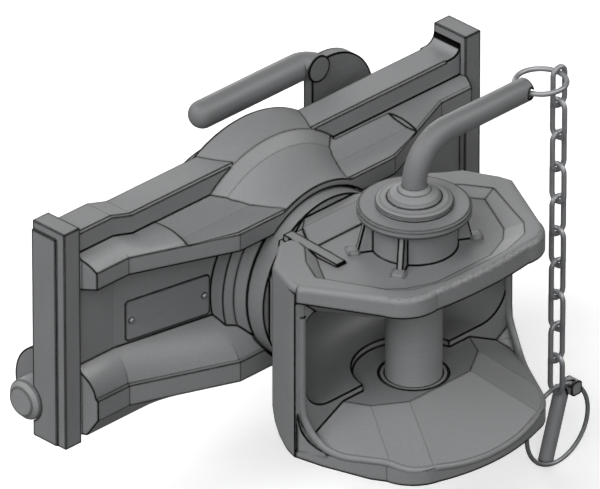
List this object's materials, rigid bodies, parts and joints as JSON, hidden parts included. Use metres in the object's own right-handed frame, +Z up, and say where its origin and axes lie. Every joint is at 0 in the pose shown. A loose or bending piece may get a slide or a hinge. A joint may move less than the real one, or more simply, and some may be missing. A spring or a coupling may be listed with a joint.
{
  "type": "trailer coupler",
  "caption": "Height-adjustable trailer coupler: slide frame with locking bolts and lever, swivelling jaw, lift-out coupling pin and chained linch pin.",
  "frame": {"origin": "where the coupling pin's axis crosses the jaw's swivel axis", "axes": "+Z up along the coupling pin, +X right along the frame, -Y out of the jaw's mouth, +Y towards the tractor"},
  "size_m": [0.337, 0.2348, 0.2618],
  "materials": {
    "cast_steel": "cast, satin",
    "machined_steel": "machined, satin",
    "plate_steel": "plate, satin",
    "round_bar": "drawn, satin",
    "ground_steel": "ground, semi-gloss",
    "spring_steel": "phosphated",
    "zinc_wire": "zinc plated, satin",
    "bush_bronze": "bored, semi-gloss",
    "plate_aluminium": "anodised, satin"
  },
  "bodies": {
    "slide_frame": {"frame_casting": "cast_steel", "guide_rail_left": "machined_steel", "guide_rail_right": "machined_steel", "front_swivel_bush": "bush_bronze", "rear_swivel_bush": "bush_bronze", "thrust_washer": "bush_bronze", "lever_retaining_ring": "spring_steel", "nameplate": "plate_aluminium", "nameplate_rivets": "plate_aluminium"},
    "lever": {"lever_plate": "plate_steel", "lever_handle": "round_bar"},
    "left_bolt": {"locking_bolt_left": "ground_steel", "drive_pin_left": "ground_steel"},
    "right_bolt": {"locking_bolt_right": "ground_steel", "drive_pin_right": "ground_steel"},
    "jaw": {"jaw_casting": "cast_steel", "disc_spring": "spring_steel", "swivel_nut": "plate_steel", "cotter_pin": "zinc_wire", "upper_pin_bush": "bush_bronze", "lower_pin_bush": "bush_bronze", "pin_disc": "plate_steel"},
    "pin": {"coupling_pin": "ground_steel", "pin_handle": "round_bar"},
    "split_ring": {"split_ring": "zinc_wire"},
    "linch_ring": {"linch_ring": "zinc_wire"},
    "linch_pin": {"linch_pin": "zinc_wire"},
    "chain_link_01": {"chain_link_01": "zinc_wire"},
    "chain_link_02": {"chain_link_02": "zinc_wire"},
    "chain_link_03": {"chain_link_03": "zinc_wire"},
    "chain_link_04": {"chain_link_04": "zinc_wire"},
    "chain_link_05": {"chain_link_05": "zinc_wire"},
    "chain_link_06": {"chain_link_06": "zinc_wire"},
    "chain_link_07": {"chain_link_07": "zinc_wire"},
    "chain_link_08": {"chain_link_08": "zinc_wire"},
    "chain_link_09": {"chain_link_09": "zinc_wire"},
    "chain_link_10": {"chain_link_10": "zinc_wire"}
  },
  "joints": [
    {"name": "jaw_swivel", "type": "hinge", "parent": "slide_frame", "child": "jaw", "pos_m": [0, 0.08, 0], "axis": [0, 1, 0], "continuous": true},
    {"name": "lever_turn", "type": "hinge", "parent": "slide_frame", "child": "lever", "pos_m": [0, 0.16, 0], "axis": [0, 1, 0], "range_deg": [0, 25]},
    {"name": "left_bolt_slide", "type": "slide", "parent": "slide_frame", "child": "left_bolt", "axis": [-1, 0, 0], "range_m": [0, 0.018]},
    {"name": "right_bolt_slide", "type": "slide", "parent": "slide_frame", "child": "right_bolt", "axis": [1, 0, 0], "range_m": [0, 0.018]},
    {"name": "pin_lift", "type": "slide", "parent": "jaw", "child": "pin", "axis": [0, 0, 1], "range_m": [0, 0.125]},
    {"name": "split_ring_swing", "type": "hinge", "parent": "pin", "child": "split_ring", "pos_m": [0.0851, 0, 0.113], "axis": [0, 1, 0], "range_deg": [-30, 0]},
    {"name": "chain_link_01_swing", "type": "hinge", "parent": "split_ring", "child": "chain_link_01", "pos_m": [0.1141, 0, 0.113], "axis": [0, 1, 0], "range_deg": [-35, 0]},
    {"name": "chain_link_02_swing", "type": "hinge", "parent": "chain_link_01", "child": "chain_link_02", "pos_m": [0.1141, 0, 0.09235], "axis": [1, 0, 0], "range_deg": [-4, 4]},
    {"name": "chain_link_03_swing", "type": "hinge", "parent": "chain_link_02", "child": "chain_link_03", "pos_m": [0.1141, 0, 0.07175], "axis": [0, 1, 0], "range_deg": [-12, 0]},
    {"name": "chain_link_04_swing", "type": "hinge", "parent": "chain_link_03", "child": "chain_link_04", "pos_m": [0.1141, 0, 0.05115], "axis": [1, 0, 0], "range_deg": [-4, 4]},
    {"name": "chain_link_05_swing", "type": "hinge", "parent": "chain_link_04", "child": "chain_link_05", "pos_m": [0.1141, 0, 0.03055], "axis": [0, 1, 0], "range_deg": [-12, 0]},
    {"name": "chain_link_06_swing", "type": "hinge", "parent": "chain_link_05", "child": "chain_link_06", "pos_m": [0.1141, 0, 0.00995], "axis": [1, 0, 0], "range_deg": [-4, 4]},
    {"name": "chain_link_07_swing", "type": "hinge", "parent": "chain_link_06", "child": "chain_link_07", "pos_m": [0.1141, 0, -0.01065], "axis": [0, 1, 0], "range_deg": [-12, 0]},
    {"name": "chain_link_08_swing", "type": "hinge", "parent": "chain_link_07", "child": "chain_link_08", "pos_m": [0.1141, 0, -0.03125], "axis": [1, 0, 0], "range_deg": [-4, 4]},
    {"name": "chain_link_09_swing", "type": "hinge", "parent": "chain_link_08", "child": "chain_link_09", "pos_m": [0.1141, 0, -0.05185], "axis": [0, 1, 0], "range_deg": [-12, 0]},
    {"name": "chain_link_10_swing", "type": "hinge", "parent": "chain_link_09", "child": "chain_link_10", "pos_m": [0.1141, 0, -0.07245], "axis": [1, 0, 0], "range_deg": [-4, 4]},
    {"name": "linch_ring_swing", "type": "hinge", "parent": "chain_link_10", "child": "linch_ring", "pos_m": [0.1141, 0, -0.09305], "axis": [0, 1, 0], "range_deg": [-8, 0]},
    {"name": "linch_pin_turn", "type": "hinge", "parent": "linch_ring", "child": "linch_pin", "pos_m": [0.1297, 0, -0.0952], "axis": [0.8089, 0, -0.5879], "range_deg": [0, 8]}
  ],
  "couplings": [
    {"joint": "left_bolt_slide", "follows": "lever_turn", "m_per_rad": 0.041253},
    {"joint": "right_bolt_slide", "follows": "lever_turn", "m_per_rad": 0.041253}
  ]
}
